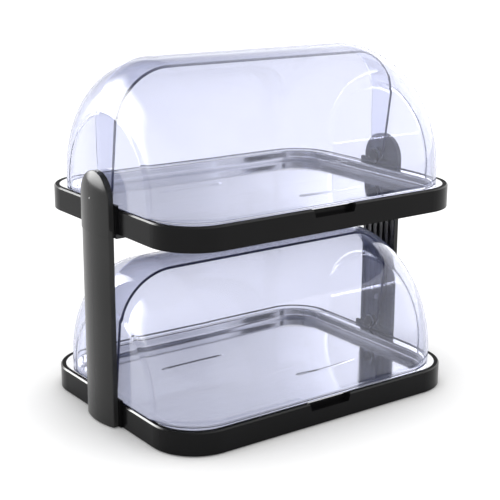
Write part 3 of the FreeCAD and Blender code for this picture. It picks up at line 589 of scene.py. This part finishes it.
def crescent_island(verts, faces, centre_x, line_y, side, floor):
    """Low raised crescent with a soft crown, closed below inside the sheet."""
    crown, under = [], []
    for index in range(CRESCENT_STEPS + 1):
        share = 2 * index / CRESCENT_STEPS - 1
        width = CRESCENT_TIP + (CRESCENT_WIDTH - CRESCENT_TIP) * (1 - share * share)
        crown.append([])
        under.append([])
        for step in range(CRESCENT_ROWS + 1):
            part = step / CRESCENT_ROWS
            rise = CRESCENT_RISE * (1 - (2 * part - 1) ** 2) * (1 - share ** CRESCENT_BLUNT)
            place = (centre_x + share * CRESCENT_LENGTH / 2, line_y + side * width * part)
            crown[-1].append(len(verts))
            verts.append((*place, floor - CRESCENT_SINK + rise))
            under[-1].append(len(verts))
            verts.append((*place, floor - CRESCENT_ROOT))
    for index in range(CRESCENT_STEPS):
        for step in range(CRESCENT_ROWS):
            for grid in (crown, under):
                faces.append((grid[index][step], grid[index + 1][step],
                              grid[index + 1][step + 1], grid[index][step + 1]))
        for step in (0, CRESCENT_ROWS):
            faces.append((crown[index][step], crown[index + 1][step],
                          under[index + 1][step], under[index][step]))
    for index in (0, CRESCENT_STEPS):
        for step in range(CRESCENT_ROWS):
            faces.append((crown[index][step], crown[index][step + 1],
                          under[index][step + 1], under[index][step]))


def add_tray(tier):
    """Sheet of one tray, closed round its thickness, and its two crescents."""
    top = RIM[tier] - TRAY_DROP
    verts, faces = [], []
    rings = tray_rings(top)
    for outline, height in rings:
        verts += [(*point, height) for point in rounded_ring(*outline)]
    count = len(verts) // len(rings)
    for ring in range(len(rings) - 1):
        low, high = ring * count, (ring + 1) * count
        for index in range(count):
            after = (index + 1) % count
            faces.append((low + index, low + after, high + after, high + index))
    faces.append(tuple(range(count)))
    faces.append(tuple(range(len(verts) - count, len(verts))))
    for centre_x, line_y, side in CRESCENTS:
        crescent_island(verts, faces, centre_x, line_y, side, top - WELL_DEPTH)
    mesh = finish_mesh(mesh_from(f"{tier}_tray_sheet", verts, faces))
    new_object(f"{tier}_tray_sheet", mesh, BODY, STEEL, (f"{tier}_tray",))


dress_solids()
dress_rims()
for tier in TIERS:
    add_hoods(tier)
    add_tray(tier)

# Camera: at the photograph's angle, fitted to the outlines of both bases and both hoods

IMAGE_SIDE = 500
FOCAL_PIXELS = 1198.2
SENSOR = 36.0
CAMERA_AZIMUTH, CAMERA_ELEVATION, CAMERA_ROLL = radians(-36.105), radians(15.393), radians(0.340)
CAMERA_DISTANCE = 1494.1 * MM
CAMERA_TARGET = Vector((-2.20 * MM, 0, 174.83 * MM))
CAMERA_CLIP = (0.05, 50)


def add_camera():
    camera = bpy.data.objects.new("camera", bpy.data.cameras.new("camera"))
    bpy.context.scene.collection.objects.link(camera)
    camera.data.sensor_width = SENSOR
    camera.data.lens = FOCAL_PIXELS / IMAGE_SIDE * SENSOR
    camera.data.clip_start, camera.data.clip_end = CAMERA_CLIP
    back = Vector((sin(CAMERA_AZIMUTH) * cos(CAMERA_ELEVATION),
                   -cos(CAMERA_AZIMUTH) * cos(CAMERA_ELEVATION), sin(CAMERA_ELEVATION)))
    turn = (-back).to_track_quat("-Z", "Y").to_matrix().to_4x4()
    turn = turn @ Matrix.Rotation(CAMERA_ROLL, 4, "Z")
    camera.matrix_world = Matrix.Translation(CAMERA_TARGET + back * CAMERA_DISTANCE) @ turn
    bpy.context.scene.camera = camera


# Floor, backdrop and light. The world lights everything evenly from all round. Glosses and clear sheets
# see a studio in it: white low down, dark to the left and bright to the far right, and glosses a soft box.

FLOOR_HALF = 12.0
FLOOR_COLOUR = (0.86, 0.86, 0.86, 1)
FLOOR_ROUGHNESS = 0.9
WORLD_LIGHT = 0.8
# Strengths shown to the kinds of ray, where 1 is white
BACKDROP = 1.2
FLOOR_GLOW = {"glossy": 0.45, "transmission": 0.6, "camera": 0.55}
GLOSS_STUDIO = {"bright": 1.2, "sky_top": 0.8}
CLEAR_STUDIO = {"bright": 3.4, "sky_top": 0.2}
# Painted contact shadow on the floor's glow: how far a thing near the floor darkens its glow, the open shares
# between which it does, and the least glow
PAINTED_SHADOW_REACH = 0.13
PAINTED_SHADOW_SPAN = (0.5, 0.95)
PAINTED_SHADOW_LEAST_GLOW = 0.2
# Strengths at the left and to the right of it, and where along X they change
DARK_SIDE, GREY_SIDE = 0.15, 0.7
DARK_TO, GREY_TO, BRIGHT_FROM = -0.6, 0.5, 0.85
# Azimuth 0 is straight behind the case and a quarter turn is to its right; spans run from full to none
BOX_AZIMUTH, BOX_ELEVATION = radians(-40), radians(19)
BOX_WIDE, BOX_TALL = (radians(13), radians(31)), (radians(9), radians(26))
BOX_STRENGTH = 14.0


def by_ray(tree, light, **shown):
    """Strength as light, and other strengths for the kinds of ray that show the surroundings."""
    path = tree.nodes.new("ShaderNodeLightPath")
    value = light
    for kind in ("glossy", "transmission", "camera"):
        value = blend(tree, "FLOAT", path.outputs[f"Is {kind.title()} Ray"], value, shown[kind])
    return value


def add_floor():
    """Pale floor that glows white for the camera, with a painted contact shadow: less glow where the case stands
    close over it.
    """
    corners = [(-FLOOR_HALF, -FLOOR_HALF, 0), (FLOOR_HALF, -FLOOR_HALF, 0),
               (FLOOR_HALF, FLOOR_HALF, 0), (-FLOOR_HALF, FLOOR_HALF, 0)]
    material, tree, shader = new_material("studio_floor")
    # Ambient occlusion near the case cuts the glow: a painted contact shadow.
    contact = tree.nodes.new("ShaderNodeAmbientOcclusion")
    contact.inputs["Distance"].default_value = PAINTED_SHADOW_REACH
    unshadowed_share = step_between(tree, contact.outputs["AO"], *PAINTED_SHADOW_SPAN, PAINTED_SHADOW_LEAST_GLOW, 1.0, smooth=False)
    feed(tree, shader, {
        "Base Color": FLOOR_COLOUR,
        "Roughness": FLOOR_ROUGHNESS,
        "Specular IOR Level": 0.0,
        "Emission Color": (1, 1, 1, 1),
        "Emission Strength": calculate(tree, "MULTIPLY", by_ray(tree, 0.0, **FLOOR_GLOW), unshadowed_share),
    })
    floor = bpy.data.objects.new("studio_floor", mesh_from("studio_floor", corners, [(0, 1, 2, 3)]))
    bpy.context.scene.collection.objects.link(floor)
    floor.data.materials.append(material)


def dot(tree, direction, along):
    """How far a direction points along a fixed one."""
    node = tree.nodes.new("ShaderNodeVectorMath")
    node.operation = "DOT_PRODUCT"
    feed(tree, node, {0: direction, 1: along})
    return node.outputs["Value"]


def soft_box(tree, direction):
    """Bright patch of the surroundings with soft edges."""
    centre = Vector((sin(BOX_AZIMUTH) * cos(BOX_ELEVATION),
                     cos(BOX_AZIMUTH) * cos(BOX_ELEVATION), sin(BOX_ELEVATION)))
    across = Vector((cos(BOX_AZIMUTH), -sin(BOX_AZIMUTH), 0))
    ahead = calculate(tree, "GREATER_THAN", dot(tree, direction, centre), 0.0)
    patch = calculate(tree, "MULTIPLY", ahead, BOX_STRENGTH)
    for axis, (core, edge) in ((across, BOX_WIDE), (across.cross(centre), BOX_TALL)):
        off = calculate(tree, "ABSOLUTE", dot(tree, direction, axis))
        inside = step_between(tree, off, sin(core), sin(edge), 1.0, 0.0)
        patch = calculate(tree, "MULTIPLY", patch, inside)
    return patch


def add_world():
    """Even light, white for the camera, and the studio for glosses and clear sheets."""
    world = bpy.data.worlds.new("studio")
    bpy.context.scene.world = world
    world.use_nodes = True
    tree = world.node_tree
    direction = tree.nodes.new("ShaderNodeTexCoord").outputs["Generated"]
    parts = tree.nodes.new("ShaderNodeSeparateXYZ")
    feed(tree, parts, {"Vector": direction})
    along_x, along_z = parts.outputs["X"], parts.outputs["Z"]
    left = step_between(tree, along_x, DARK_TO, GREY_TO, DARK_SIDE, GREY_SIDE, smooth=False)

    def studio(bright, sky_top):
        right = step_between(tree, along_x, GREY_TO, BRIGHT_FROM, 0.0, bright - GREY_SIDE)
        low_sky = step_between(tree, along_z, sky_top / 3, sky_top, BACKDROP, 0.0)
        return calculate(tree, "MAXIMUM", calculate(tree, "ADD", left, right), low_sky)

    glossy = calculate(tree, "ADD", studio(**GLOSS_STUDIO), soft_box(tree, direction))
    shown = {"glossy": glossy, "transmission": studio(**CLEAR_STUDIO), "camera": BACKDROP}
    feed(tree, tree.nodes["Background"], {
        "Color": (1, 1, 1, 1),
        "Strength": by_ray(tree, WORLD_LIGHT, **shown),
    })


add_camera()
add_floor()
add_world()
bpy.context.scene.view_settings.view_transform = "Standard"
